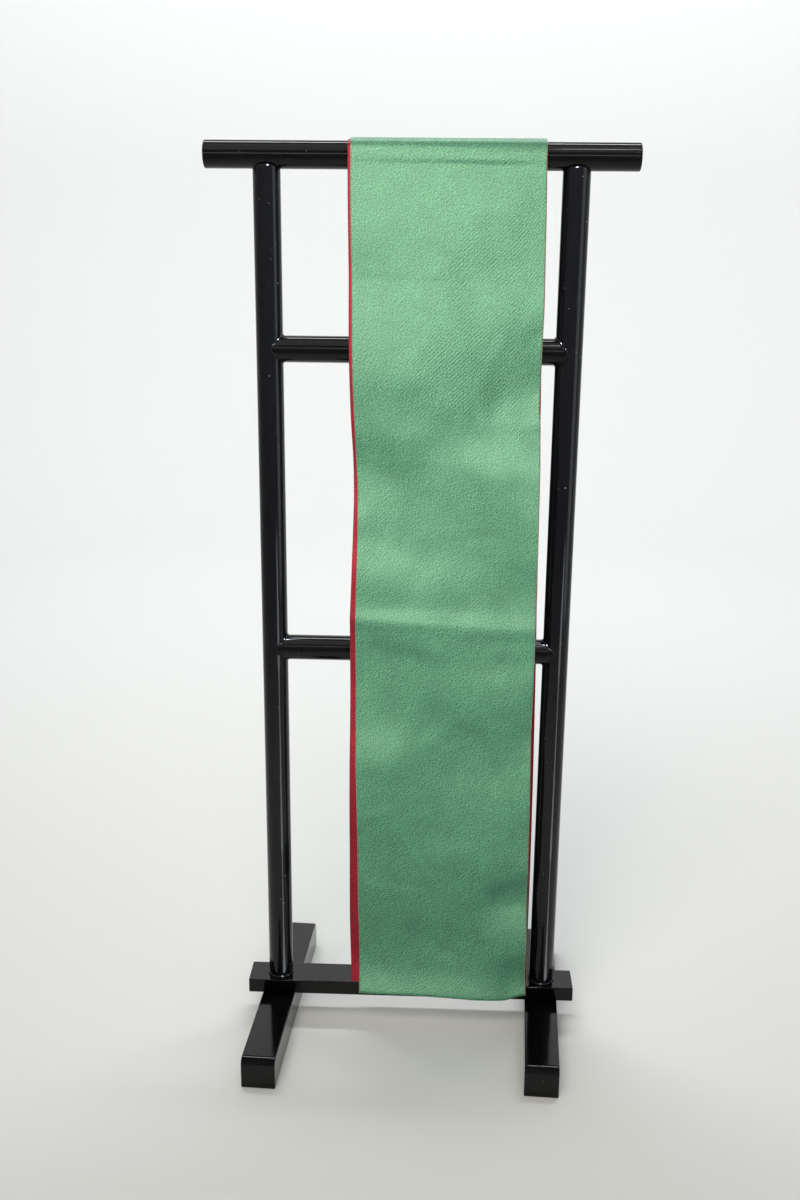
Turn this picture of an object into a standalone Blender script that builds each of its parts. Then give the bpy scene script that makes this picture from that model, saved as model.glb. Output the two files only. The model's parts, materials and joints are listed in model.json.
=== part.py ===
"""An obi hung over the top rail of a black lacquered stand.

The obi is one long reversible sash, green outside and red inside. It is folded in half with
the red inside, and the folded sash hangs over the rail, so two layers hang in front of the
stand and two behind it. Its two free ends are in front, and the fold is at the back.

Units are metres, +Z is up, -Y is the front, and the origin is on the floor under the middle
of the rail. Tables are in millimetres and are turned into metres by MM.
"""

from collections import namedtuple
from math import cos, pi, radians, sin

import bmesh
import bpy
from mathutils import Matrix, Vector

MM = 0.001

# Clearances
GAP = 0.0003

# The stand
ROD_SIDES = 48
RAIL_DIAMETER = 0.024
RAIL_LENGTH = 0.379
RAIL_HEIGHT = 0.8536
RAIL_END_ROUNDING = 0.0012
POST_DIAMETER = 0.0245
POST_SPACING = 0.2704
POST_LIP = 0.004
POST_TOP_ROUNDING = 0.0025
POST_FOOT_ROUNDING = 0.0012
BAR_DIAMETER = 0.024
UPPER_BAR_HEIGHT = 0.687
LOWER_BAR_HEIGHT = 0.403
BOARD_LENGTH = 0.334
BOARD_DEPTH = 0.034
BOARD_THICKNESS = 0.015
FOOT_LENGTH = 0.260
FOOT_WIDTH = 0.033
FOOT_HEIGHT = 0.031
FOOT_END_ROUNDING = 0.008
FOOT_TURN = radians(-3.0)
EDGE_ROUNDING = 0.001

# The cloth
OBI_WIDTH = 0.170
WALL = 0.0012
CLOTH_COLUMNS = 10
ROW_STEP = 0.035
TURN_ROWS = 20
FOLD_ROWS = 8
FOLD_HEIGHT = 0.037
HEM_ZONE = 0.09

# Each row is one section across the hanging cloth, from the rail down. The edges are places
# along X. The next three columns say how far the cloth stands out from the plane in which it
# leaves the rail, at the outer layer's left edge, its middle and its right edge. The height is
# at the outer layer's left edge, and the section has fallen by the last column at its right.
Section = namedtuple(
    "Section", "height inner_left outer_left outer_right out_left out_middle out_right fall"
)

FRONT_SECTIONS = [
    Section(853.3, -63.0, -60.8, 108.0, 0.0, 0.0, 0.0, 0.0),
    Section(848.0, -63.0, -60.8, 108.0, 0.0, 0.0, 0.0, 0.0),
    Section(838.0, -62.9, -60.8, 108.2, 0.6, 0.5, 0.6, 0.0),
    Section(815.0, -62.6, -60.6, 108.7, 2.2, 1.8, 2.0, 0.5),
    Section(790.0, -62.3, -60.3, 109.2, 3.4, 2.8, 2.8, 1.0),
    Section(752.0, -61.9, -59.6, 109.9, 3.6, 3.2, 3.0, 2.0),
    Section(732.0, -61.8, -59.2, 110.2, 5.0, 4.2, 3.6, 2.5),
    Section(697.0, -61.6, -59.0, 109.9, 6.2, 5.2, 3.4, 3.0),
    Section(662.0, -61.0, -58.4, 109.8, 5.4, 5.2, 2.6, 3.5),
    Section(644.0, -60.6, -57.9, 109.4, 4.6, 4.9, 3.0, 3.5),
    Section(626.0, -60.0, -57.2, 110.8, 3.4, 4.4, 4.8, 4.0),
    Section(589.0, -58.4, -55.8, 111.7, 1.0, 3.4, 7.6, 4.5),
    Section(552.0, -57.8, -54.6, 112.1, 1.2, 2.6, 8.4, 5.0),
    Section(514.0, -58.7, -54.7, 112.7, 3.6, 2.6, 7.6, 5.5),
    Section(476.0, -59.7, -55.4, 113.2, 5.6, 3.6, 5.8, 6.0),
    Section(450.0, -60.7, -56.0, 113.5, 7.2, 5.6, 6.2, 6.0),
    Section(438.0, -61.1, -56.2, 113.6, 9.0, 8.0, 8.2, 6.0),
    Section(426.0, -61.2, -56.2, 113.7, 6.4, 5.8, 6.2, 6.0),
    Section(396.0, -61.3, -56.2, 113.8, 3.8, 3.6, 4.6, 5.0),
    Section(356.0, -61.3, -56.2, 113.8, 3.6, 2.8, 3.8, 3.5),
    Section(300.0, -61.6, -56.0, 114.2, 4.6, 2.4, 3.4, 2.0),
    Section(229.0, -61.9, -54.7, 115.2, 3.6, 2.2, 2.8, 1.0),
    Section(185.0, -62.1, -54.3, 115.8, 2.2, 1.8, 1.8, 0.5),
    Section(150.0, -62.2, -54.1, 116.3, 1.2, 1.4, 1.0, 0.0),
    Section(120.0, -62.2, -53.6, 116.8, 1.0, 1.4, 2.4, 0.0),
    Section(90.0, -61.8, -52.9, 117.2, 1.8, 2.0, 3.6, 0.0),
    Section(66.0, -61.0, -52.6, 117.3, 3.6, 3.6, 4.4, 0.0),
    Section(48.0, -60.2, -52.4, 117.8, 5.4, 5.4, 5.4, 0.0),
    Section(30.0, -59.9, -52.4, 118.6, 7.2, 6.8, 6.8, 0.0),
]

BACK_SECTIONS = [
    Section(853.3, -63.0, -60.8, 108.0, 0.0, 0.0, 0.0, 0.0),
    Section(845.0, -63.0, -60.8, 108.1, 0.2, 0.2, 0.2, 0.0),
    Section(815.0, -62.7, -60.3, 108.7, 2.0, 2.2, 1.8, 0.0),
    Section(780.0, -62.3, -59.6, 109.4, 3.0, 3.4, 2.8, -0.5),
    Section(742.0, -61.8, -58.8, 110.3, 3.2, 3.8, 3.2, -1.0),
    Section(722.0, -61.5, -58.3, 110.8, 4.6, 4.8, 4.2, -1.0),
    Section(650.0, -60.4, -56.7, 112.5, 5.0, 4.2, 3.4, -1.0),
    Section(580.0, -59.2, -55.2, 114.1, 5.0, 3.2, 2.6, 0.0),
    Section(510.0, -58.0, -53.8, 115.6, 4.2, 3.6, 4.2, 1.0),
    Section(458.0, -56.8, -52.8, 116.7, 5.6, 5.6, 6.0, 2.0),
    Section(446.0, -56.5, -52.6, 116.9, 8.2, 7.8, 8.4, 2.0),
    Section(434.0, -56.2, -52.4, 117.1, 6.2, 6.0, 6.4, 2.0),
    Section(402.0, -55.4, -51.8, 117.8, 4.4, 4.4, 4.8, 2.0),
    Section(320.0, -53.6, -50.6, 119.1, 2.8, 3.8, 3.8, 1.0),
    Section(230.0, -51.8, -49.6, 120.2, 2.2, 3.2, 3.0, 0.0),
    Section(140.0, -50.4, -49.2, 120.7, 1.6, 2.4, 2.0, 0.0),
    Section(80.0, -49.7, -49.2, 120.8, 2.8, 2.8, 2.8, 0.0),
    Section(50.0, -49.4, -49.2, 120.8, 5.4, 5.4, 5.4, 0.0),
    Section(37.0, -49.2, -49.2, 120.8, 6.0, 6.0, 6.0, 0.0),
]

# Lower edges of the two free ends, as heights from the left corner to the right one
OUTER_HEM = [37.3, 36.8, 36.6, 35.8, 34.8, 33.6, 33.6, 38.6]
INNER_HEM = [47.5, 47.2, 46.8, 46.4]

FRONT = -1
BACK = 1
INNER = 0
OUTER = 1


def empty_scene():
    """Removes every object that the scene starts with."""
    for thing in list(bpy.data.objects):
        bpy.data.objects.remove(thing, do_unlink=True)


def new_collection(name):
    collection = bpy.data.collections.new(name)
    bpy.context.scene.collection.children.link(collection)
    return collection


def new_material(name, colour, roughness, sheen=0.0, coat=0.0):
    material = bpy.data.materials.new(name)
    material.use_nodes = True
    shader = material.node_tree.nodes["Principled BSDF"]
    shader.inputs["Base Color"].default_value = (*colour, 1.0)
    shader.inputs["Roughness"].default_value = roughness
    shader.inputs["Sheen Weight"].default_value = sheen
    shader.inputs["Coat Weight"].default_value = coat
    return material


def object_from_bmesh(mesh_maker, name, collection, material=None):
    mesh = bpy.data.meshes.new(name)
    mesh_maker.to_mesh(mesh)
    mesh_maker.free()
    thing = bpy.data.objects.new(name, mesh)
    collection.objects.link(thing)
    if material:
        mesh.materials.append(material)
    return thing


# Rods of the stand

def rod_profile(radius, length, start_rounding, end_rounding, arc_steps=3):
    """Half outline of a rod along Z from its top centre to its bottom centre."""
    half = length / 2
    points = [Vector((0, 0, half))]
    for step in range(arc_steps + 1):
        angle = pi / 2 * (1 - step / arc_steps)
        across = radius - end_rounding + end_rounding * cos(angle)
        along = half - end_rounding + end_rounding * sin(angle)
        points.append(Vector((across, 0, along)))
    for step in range(arc_steps + 1):
        angle = -pi / 2 * step / arc_steps
        across = radius - start_rounding + start_rounding * cos(angle)
        along = -half + start_rounding + start_rounding * sin(angle)
        points.append(Vector((across, 0, along)))
    points.append(Vector((0, 0, -half)))
    return points


def turned_rod(name, radius, length, start_rounding, end_rounding, collection, material):
    """A round rod along its own Z axis, turned from its half outline."""
    maker = bmesh.new()
    corners = [maker.verts.new(point) for point in rod_profile(radius, length, start_rounding, end_rounding)]
    for first, second in zip(corners, corners[1:]):
        maker.edges.new((first, second))
    rod = object_from_bmesh(maker, name, collection, material)
    turn = rod.modifiers.new("turn", "SCREW")
    turn.steps = ROD_SIDES
    turn.render_steps = ROD_SIDES
    turn.use_merge_vertices = True
    turn.merge_threshold = 0.00001
    turn.use_smooth_shade = True
    return rod


def round_cutter(name, radius, length, collection):
    """A plain cylinder along its own Z axis that cuts a saddle and isn't a part."""
    maker = bmesh.new()
    bmesh.ops.create_cone(
        maker, cap_ends=True, segments=ROD_SIDES, radius1=radius, radius2=radius, depth=length
    )
    cutter = object_from_bmesh(maker, name, collection)
    cutter.hide_render = True
    cutter.display_type = "WIRE"
    return cutter


def cut_away(thing, cutter):
    cut = thing.modifiers.new("saddle", "BOOLEAN")
    cut.operation = "DIFFERENCE"
    cut.solver = "EXACT"
    cut.object = cutter


def build_rods(parts, cutters, lacquer):
    """The rail, the two posts under it and the two crossbars between the posts."""
    rail = turned_rod(
        "stand_rail", RAIL_DIAMETER / 2, RAIL_LENGTH, RAIL_END_ROUNDING, RAIL_END_ROUNDING, parts, lacquer
    )
    rail.rotation_euler.y = pi / 2
    rail.location.z = RAIL_HEIGHT
    rail_saddle = round_cutter("cut_under_rail", RAIL_DIAMETER / 2 + GAP, RAIL_LENGTH, cutters)
    rail_saddle.rotation_euler.y = pi / 2
    rail_saddle.location.z = RAIL_HEIGHT

    board_top = FOOT_HEIGHT + GAP + BOARD_THICKNESS
    post_bottom = board_top + GAP
    post_top = RAIL_HEIGHT - RAIL_DIAMETER / 2 + POST_LIP
    post_saddles = []
    for side, word in ((-1, "left"), (1, "right")):
        x = side * POST_SPACING / 2
        post = turned_rod(
            f"stand_post_{word}",
            POST_DIAMETER / 2,
            post_top - post_bottom,
            POST_FOOT_ROUNDING,
            POST_TOP_ROUNDING,
            parts,
            lacquer,
        )
        post.location = (x, 0, (post_top + post_bottom) / 2)
        cut_away(post, rail_saddle)
        saddle = round_cutter(f"cut_round_{word}_post", POST_DIAMETER / 2 + GAP, RAIL_HEIGHT, cutters)
        saddle.location = (x, 0, RAIL_HEIGHT / 2)
        post_saddles.append(saddle)

    for word, height in (("upper", UPPER_BAR_HEIGHT), ("lower", LOWER_BAR_HEIGHT)):
        bar = turned_rod(
            f"stand_bar_{word}", BAR_DIAMETER / 2, POST_SPACING, EDGE_ROUNDING, EDGE_ROUNDING, parts, lacquer
        )
        bar.rotation_euler.y = pi / 2
        bar.location.z = height
        for saddle in post_saddles:
            cut_away(bar, saddle)


# Flat pieces of the stand

def block(name, size, collection, material, rounded_ends=0.0):
    """A box on its own centre, with its two upper end edges rounded when asked."""
    maker = bmesh.new()
    bmesh.ops.create_cube(maker, size=1.0, matrix=Matrix.Diagonal((*size, 1.0)))
    if rounded_ends:
        ends = [
            edge for edge in maker.edges
            if all(corner.co.z > 0 for corner in edge.verts)
            and abs(edge.verts[0].co.y - edge.verts[1].co.y) < GAP
        ]
        bmesh.ops.bevel(
            maker, geom=ends, offset=rounded_ends, segments=8, profile=0.5, affect="EDGES", clamp_overlap=True
        )
    thing = object_from_bmesh(maker, name, collection, material)
    soften = thing.modifiers.new("soft_edges", "BEVEL")
    soften.width = EDGE_ROUNDING
    soften.segments = 2
    soften.limit_method = "ANGLE"
    soften.angle_limit = radians(40)
    return thing


def build_base(parts, lacquer):
    """The board that carries the posts, and the two feet that run front to back under it."""
    board = block("stand_board", (BOARD_LENGTH, BOARD_DEPTH, BOARD_THICKNESS), parts, lacquer)
    board.location.z = FOOT_HEIGHT + GAP + BOARD_THICKNESS / 2
    for side, word in ((-1, "left"), (1, "right")):
        foot = block(
            f"stand_foot_{word}", (FOOT_WIDTH, FOOT_LENGTH, FOOT_HEIGHT), parts, lacquer, FOOT_END_ROUNDING
        )
        foot.rotation_euler.z = FOOT_TURN
        foot.location = (side * POST_SPACING / 2, 0, FOOT_HEIGHT / 2)


# The cloth

def flowing(place, stops, values):
    """Value at a place between falling stops, on a smooth curve that never overshoots."""
    if place >= stops[0]:
        return values[0]
    if place <= stops[-1]:
        return values[-1]
    index = next(i for i in range(len(stops) - 1) if stops[i + 1] <= place)
    slopes = []
    for i in (index, index + 1):
        before = (values[i] - values[i - 1]) / (stops[i] - stops[i - 1]) if i > 0 else 0.0
        last = i == len(stops) - 1
        after = 0.0 if last else (values[i + 1] - values[i]) / (stops[i + 1] - stops[i])
        same_way = before * after > 0
        slopes.append(2 * before * after / (before + after) if same_way else 0.0)
    span = stops[index + 1] - stops[index]
    t = (place - stops[index]) / span
    start = values[index] * (1 + 2 * t) + slopes[0] * span * t
    end = values[index + 1] * (3 - 2 * t) + slopes[1] * span * (t - 1)
    return start * (1 - t) ** 2 + end * t * t


def column(sections, name):
    return [getattr(section, name) * MM for section in sections]


def layer_depth(layer):
    """Distance from the rail's axis to the middle of a layer's wall."""
    return RAIL_DIAMETER / 2 + GAP + WALL / 2 + layer * (WALL + GAP)


def layer_edges(sections, layer, height):
    """Left and right edges of a layer at a height."""
    heights = column(sections, "height")
    if layer == OUTER:
        left = flowing(height, heights, column(sections, "outer_left"))
        return left, flowing(height, heights, column(sections, "outer_right"))
    left = flowing(height, heights, column(sections, "inner_left"))
    return left, left + OBI_WIDTH


def stand_out(sections, x, height):
    """How far the cloth stands out from its plane at a place."""
    heights = column(sections, "height")
    left, right = layer_edges(sections, OUTER, height)
    u = (x - left) / (right - left)
    at_left, at_middle, at_right = (
        flowing(height, heights, column(sections, name)) for name in ("out_left", "out_middle", "out_right")
    )
    return (
        at_left * (1 - u) * (1 - 2 * u)
        + at_middle * 4 * u * (1 - u)
        + at_right * u * (2 * u - 1)
    )


def hanging_point(side, layer, u, height):
    """A point of a hanging layer's middle surface, u being 0 at the left and 1 at the right."""
    sections = FRONT_SECTIONS if side == FRONT else BACK_SECTIONS
    left, right = layer_edges(sections, layer, height)
    x = left + (right - left) * u
    depth = layer_depth(layer) + stand_out(sections, x, height)
    outer_left, outer_right = layer_edges(sections, OUTER, height)
    fall = flowing(height, column(sections, "height"), column(sections, "fall"))
    fallen = fall * (x - outer_left) / (outer_right - outer_left)
    return Vector((x, side * depth, height - fallen))


def hem_height(hem, u):
    """Height of a free end's lower edge, on a smooth curve through its evenly spaced heights."""
    falling = [1 - i / (len(hem) - 1) for i in range(len(hem))]
    return flowing(1 - u, falling, [height * MM for height in hem])


def section_heights(sections):
    """Heights of a drop's rows: those of the table, with more between them where it is sparse."""
    heights = column(sections, "height")
    rows = [heights[0]]
    for upper, lower in zip(heights, heights[1:]):
        steps = max(1, round((upper - lower) / ROW_STEP))
        rows += [upper + (lower - upper) * step / steps for step in range(1, steps + 1)]
    return rows


def cloth_wall(name, rows, point_at, collection, material):
    """A wall of cloth on the surface that point_at(row, u) gives."""
    maker = bmesh.new()
    bmesh.ops.create_grid(maker, x_segments=CLOTH_COLUMNS, y_segments=rows, size=0.5)
    for corner in maker.verts:
        u = corner.co.x + 0.5
        row = round((corner.co.y + 0.5) * rows)
        corner.co = point_at(row, u)
    wall = object_from_bmesh(maker, name, collection, material)
    wall.data.shade_smooth()
    thicken = wall.modifiers.new("thickness", "SOLIDIFY")
    thicken.thickness = WALL
    thicken.offset = 0.0
    thicken.use_even_offset = True
    return wall


def build_drop(side, layer, name, hem, collection, material):
    """One layer's straight stretch, from beside the rail down to its hem or to the fold."""
    sections = FRONT_SECTIONS if side == FRONT else BACK_SECTIONS
    heights = section_heights(sections)

    def point_at(row, u):
        height = heights[row]
        if height < HEM_ZONE:
            end = hem_height(hem, u) if hem else FOLD_HEIGHT
            height = HEM_ZONE - (HEM_ZONE - height) * (HEM_ZONE - end) / (HEM_ZONE - heights[-1])
        return hanging_point(side, layer, u, height)

    return cloth_wall(name, len(heights) - 1, point_at, collection, material)


def build_turn(layer, name, collection, material):
    """One layer's half turn over the rail, from its front edge to its back edge."""
    radius = layer_depth(layer)
    left, right = layer_edges(FRONT_SECTIONS, layer, RAIL_HEIGHT)

    def point_at(row, u):
        angle = pi * row / TURN_ROWS
        x = left + (right - left) * u
        return Vector((x, -radius * cos(angle), RAIL_HEIGHT + radius * sin(angle)))

    return cloth_wall(name, TURN_ROWS, point_at, collection, material)


def build_fold(name, collection, material):
    """The tight fold at the back where the outer layer turns up into the inner one."""

    def point_at(row, u):
        outer = hanging_point(BACK, OUTER, u, FOLD_HEIGHT)
        inner = hanging_point(BACK, INNER, u, FOLD_HEIGHT)
        outer_above = hanging_point(BACK, OUTER, u, FOLD_HEIGHT + ROW_STEP / 4)
        down = (outer - outer_above).normalized()
        centre = (outer + inner) / 2 + down * GAP
        half_span = (outer - inner) / 2
        angle = pi * row / FOLD_ROWS
        return centre + half_span * cos(angle) + down * half_span.length * sin(angle)

    return cloth_wall(name, FOLD_ROWS, point_at, collection, material)


def build_obi(parts, face, reverse):
    """The sash: two layers in front, two over the rail, two behind and the fold between those."""
    build_drop(FRONT, OUTER, "obi_front_outer", OUTER_HEM, parts, face)
    build_drop(FRONT, INNER, "obi_front_inner", INNER_HEM, parts, reverse)
    build_turn(OUTER, "obi_turn_outer", parts, face)
    build_turn(INNER, "obi_turn_inner", parts, reverse)
    build_drop(BACK, OUTER, "obi_back_outer", None, parts, face)
    build_drop(BACK, INNER, "obi_back_inner", None, parts, reverse)
    build_fold("obi_back_fold", parts, face)


def main():
    empty_scene()
    parts = new_collection("obi_on_stand")
    cutters = new_collection("cutters")
    lacquer = new_material("black_lacquer", (0.006, 0.006, 0.007), 0.08, coat=1.0)
    face = new_material("green_face", (0.19, 0.47, 0.27), 0.6, sheen=0.3)
    reverse = new_material("red_reverse", (0.45, 0.02, 0.04), 0.6, sheen=0.3)
    build_rods(parts, cutters, lacquer)
    build_base(parts, lacquer)
    build_obi(parts, face, reverse)


main()
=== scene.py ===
"""Looks of an obi hung over the top rail of a black lacquered stand.

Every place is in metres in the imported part's own frame: +Z up, -Y the front, the origin on
the floor under the middle of the rail. The stand's places and sizes are read from the frame, but
for the length and width of its turned feet. The cloth follows the solids' own drape, whose
sections are repeated here in millimetres, and adds the creases that the solids leave out.
"""

import json
from collections import namedtuple
from math import cos, pi, radians, sin, sqrt, tan

import bmesh
import bpy
import numpy as np
from mathutils import Matrix, Vector

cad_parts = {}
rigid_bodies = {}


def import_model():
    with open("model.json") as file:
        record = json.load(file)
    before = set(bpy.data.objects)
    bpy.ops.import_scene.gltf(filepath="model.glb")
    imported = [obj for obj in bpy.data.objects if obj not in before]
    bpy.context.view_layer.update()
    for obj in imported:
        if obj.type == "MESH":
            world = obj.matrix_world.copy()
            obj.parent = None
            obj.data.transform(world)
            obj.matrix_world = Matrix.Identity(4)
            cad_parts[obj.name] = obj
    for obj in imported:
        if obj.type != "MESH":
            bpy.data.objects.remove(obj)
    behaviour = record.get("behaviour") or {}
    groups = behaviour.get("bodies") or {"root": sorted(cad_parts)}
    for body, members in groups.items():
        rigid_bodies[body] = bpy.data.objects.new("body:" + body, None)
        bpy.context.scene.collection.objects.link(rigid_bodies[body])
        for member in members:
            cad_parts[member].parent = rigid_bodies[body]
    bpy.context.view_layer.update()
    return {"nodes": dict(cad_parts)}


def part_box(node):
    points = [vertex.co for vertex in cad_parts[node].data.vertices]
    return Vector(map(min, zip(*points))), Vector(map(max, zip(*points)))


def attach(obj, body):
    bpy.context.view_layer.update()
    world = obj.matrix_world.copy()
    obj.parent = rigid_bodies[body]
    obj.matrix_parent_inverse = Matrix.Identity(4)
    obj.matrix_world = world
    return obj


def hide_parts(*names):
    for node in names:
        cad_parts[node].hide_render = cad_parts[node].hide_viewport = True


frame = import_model()

MM = 0.001
ROOT = "root"

# Camera, solved from the stand's edges in the photograph
PHOTO_LONG_SIDE_PX = 1200
FOCAL_LENGTH_PX = 1269.8
SENSOR_MM = 36.0
CAMERA_PLACE = Vector((0.0257, -1.1653, 0.7855))
CAMERA_YAW = -0.03479
CAMERA_PITCH = 0.27844
CAMERA_ROLL = 0.00951

# The stand
ROD_SIDES = 96
ROUNDING_STEPS = 6
RAIL_END_ROUNDING = 0.0012
POST_TOP_ROUNDING = 0.0025
POST_FOOT_ROUNDING = 0.0015
FOOT_LENGTH = 0.260
FOOT_WIDTH = 0.033
FOOT_END_ROUNDING = 0.008
FOOT_TURN = radians(-3.0)
EDGE_ROUNDING = 0.001
BEAD_RADIUS = 0.0011
BEAD_SIDES = 48

# The cloth: two plies, the green face and the red reverse, pressed into one wall
OBI_WIDTH = 0.170
WALL = 0.0012
GAP = 0.0003
PLY_GAP = 0.0001
FOLD_HEIGHT = 0.037
HEM_ZONE = 0.09
ROW_STEP = 0.008
FRONT_ROW_STEP = 0.0027
FINE_ROW_STEP = 0.0015
FINE_ZONES = [(0.840, 0.8533), (0.434, 0.443)]
COLUMN_STEP = 0.0034
TURN_ROWS = 32
FOLD_ROWS = 12
EDGE_ROLL = 0.0006
EDGE_COLUMNS = [0.0, 0.0001, 0.0003, 0.0006, 0.0014, 0.0028]
REVERSE_PEEK = 0.0003
RIM = 0.00008
TWILL_SLANT = radians(45)
TWILL_PITCH = 0.0026
# Width of the painted highlight along each edge of a ply, where its rolled edge catches the light
EDGE_HIGHLIGHT_WIDTH = 0.0003

# Creases fade in below the rail, and gentle waves fade in below it and out above the hem
CREASE_FADE_IN = 0.004
WAVE_FADE_IN = 0.05
WAVE_LOW_END = 0.04
WAVE_FADE_OUT = 0.03

# A crease wavers by a share of its spread, and fades over a share of its length at each end
CREASE_WAVER = 0.14
CREASE_END_SHARE = 0.35
CREASE_EASE = 12.0

# The gentle waves, whose height is a share of their length
WAVE_SEED = 5
WAVE_COUNT = 30
WAVE_LENGTHS = (0.014, 0.060)
WAVE_HEIGHT_SHARE = 0.0006

# The weave. Blender's wave texture goes through this many radians a unit when its scale is 1
WAVE_TEXTURE_RATE = 20
RIB_SHARE = 0.32
# Size of the lighter specks, which are partly the thread's own colour and partly painted glints
FLECK_AND_GLINT_SCALE = 1500.0
GRAIN_SCALE = 1400.0
CLOUD_SCALE = 45.0
THREAD_STRETCH = (0.4, 1.0, 1.0)

# The studio
FLOOR_RADIUS = 2.2
WALL_BEND = 1.0
WALL_HEIGHT = 3.4
STUDIO_SIDES = 96
BEND_STEPS = 16

Section = namedtuple(
    "Section", "height inner_left outer_left outer_right out_left out_middle out_right fall"
)

FRONT_SECTIONS = [
    Section(853.3, -63.0, -60.8, 108.0, 0.0, 0.0, 0.0, 0.0),
    Section(848.0, -63.0, -60.8, 108.0, 0.0, 0.0, 0.0, 0.0),
    Section(838.0, -62.9, -60.8, 108.2, 0.6, 0.5, 0.6, 0.0),
    Section(815.0, -62.6, -60.6, 108.7, 2.2, 1.8, 2.0, 0.5),
    Section(790.0, -62.3, -60.3, 109.2, 3.4, 2.8, 2.8, 1.0),
    Section(752.0, -61.9, -59.6, 109.9, 3.6, 3.2, 3.0, 2.0),
    Section(732.0, -61.8, -59.2, 110.2, 5.0, 4.2, 3.6, 2.5),
    Section(697.0, -61.6, -59.0, 109.9, 6.2, 5.2, 3.4, 3.0),
    Section(662.0, -61.0, -58.4, 109.8, 5.4, 5.2, 2.6, 3.5),
    Section(644.0, -60.6, -57.9, 109.4, 4.6, 4.9, 3.0, 3.5),
    Section(626.0, -60.0, -57.2, 110.8, 3.4, 4.4, 4.8, 4.0),
    Section(589.0, -58.4, -55.8, 111.7, 1.0, 3.4, 7.6, 4.5),
    Section(552.0, -57.8, -54.6, 112.1, 1.2, 2.6, 8.4, 5.0),
    Section(514.0, -58.7, -54.7, 112.7, 3.6, 2.6, 7.6, 5.5),
    Section(476.0, -59.7, -55.4, 113.2, 5.6, 3.6, 5.8, 6.0),
    Section(450.0, -60.7, -56.0, 113.5, 7.2, 5.6, 6.2, 6.0),
    Section(438.0, -61.1, -56.2, 113.6, 9.0, 8.0, 8.2, 6.0),
    Section(426.0, -61.2, -56.2, 113.7, 6.4, 5.8, 6.2, 6.0),
    Section(396.0, -61.3, -56.2, 113.8, 3.8, 3.6, 4.6, 5.0),
    Section(356.0, -61.3, -56.2, 113.8, 3.6, 2.8, 3.8, 3.5),
    Section(300.0, -61.6, -56.0, 114.2, 4.6, 2.4, 3.4, 2.0),
    Section(229.0, -61.9, -54.7, 115.2, 3.6, 2.2, 2.8, 1.0),
    Section(185.0, -62.1, -54.3, 115.8, 2.2, 1.8, 1.8, 0.5),
    Section(150.0, -62.2, -54.1, 116.3, 1.2, 1.4, 1.0, 0.0),
    Section(120.0, -62.2, -53.6, 116.8, 1.0, 1.4, 2.4, 0.0),
    Section(90.0, -61.8, -52.9, 117.2, 1.8, 2.0, 3.6, 0.0),
    Section(66.0, -61.0, -52.6, 117.3, 3.6, 3.6, 4.4, 0.0),
    Section(48.0, -60.2, -52.4, 117.8, 5.4, 5.4, 5.4, 0.0),
    Section(30.0, -59.9, -52.4, 118.6, 7.2, 6.8, 6.8, 0.0),
]

BACK_SECTIONS = [
    Section(853.3, -63.0, -60.8, 108.0, 0.0, 0.0, 0.0, 0.0),
    Section(845.0, -63.0, -60.8, 108.1, 0.2, 0.2, 0.2, 0.0),
    Section(815.0, -62.7, -60.3, 108.7, 2.0, 2.2, 1.8, 0.0),
    Section(780.0, -62.3, -59.6, 109.4, 3.0, 3.4, 2.8, -0.5),
    Section(742.0, -61.8, -58.8, 110.3, 3.2, 3.8, 3.2, -1.0),
    Section(722.0, -61.5, -58.3, 110.8, 4.6, 4.8, 4.2, -1.0),
    Section(650.0, -60.4, -56.7, 112.5, 5.0, 4.2, 3.4, -1.0),
    Section(580.0, -59.2, -55.2, 114.1, 5.0, 3.2, 2.6, 0.0),
    Section(510.0, -58.0, -53.8, 115.6, 4.2, 3.6, 4.2, 1.0),
    Section(458.0, -56.8, -52.8, 116.7, 5.6, 5.6, 6.0, 2.0),
    Section(446.0, -56.5, -52.6, 116.9, 8.2, 7.8, 8.4, 2.0),
    Section(434.0, -56.2, -52.4, 117.1, 6.2, 6.0, 6.4, 2.0),
    Section(402.0, -55.4, -51.8, 117.8, 4.4, 4.4, 4.8, 2.0),
    Section(320.0, -53.6, -50.6, 119.1, 2.8, 3.8, 3.8, 1.0),
    Section(230.0, -51.8, -49.6, 120.2, 2.2, 3.2, 3.0, 0.0),
    Section(140.0, -50.4, -49.2, 120.7, 1.6, 2.4, 2.0, 0.0),
    Section(80.0, -49.7, -49.2, 120.8, 2.8, 2.8, 2.8, 0.0),
    Section(50.0, -49.4, -49.2, 120.8, 5.4, 5.4, 5.4, 0.0),
    Section(37.0, -49.2, -49.2, 120.8, 6.0, 6.0, 6.0, 0.0),
]

OUTER_HEM = [37.3, 36.8, 36.6, 35.8, 34.8, 33.6, 33.6, 38.6]
INNER_HEM = [47.5, 47.2, 46.8, 46.4]

# Each crease is a soft band about a line from (x1, z1) to (x2, z2), in millimetres. Tilt is how
# far the cloth leans along the line, in degrees: above 0 it faces up and catches the light, below
# 0 it faces down. Spread is how far that lean reaches on each side, in millimetres, and beyond it
# the cloth eases back to its old depth.
Crease = namedtuple("Crease", "x1 z1 x2 z2 spread tilt")

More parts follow.
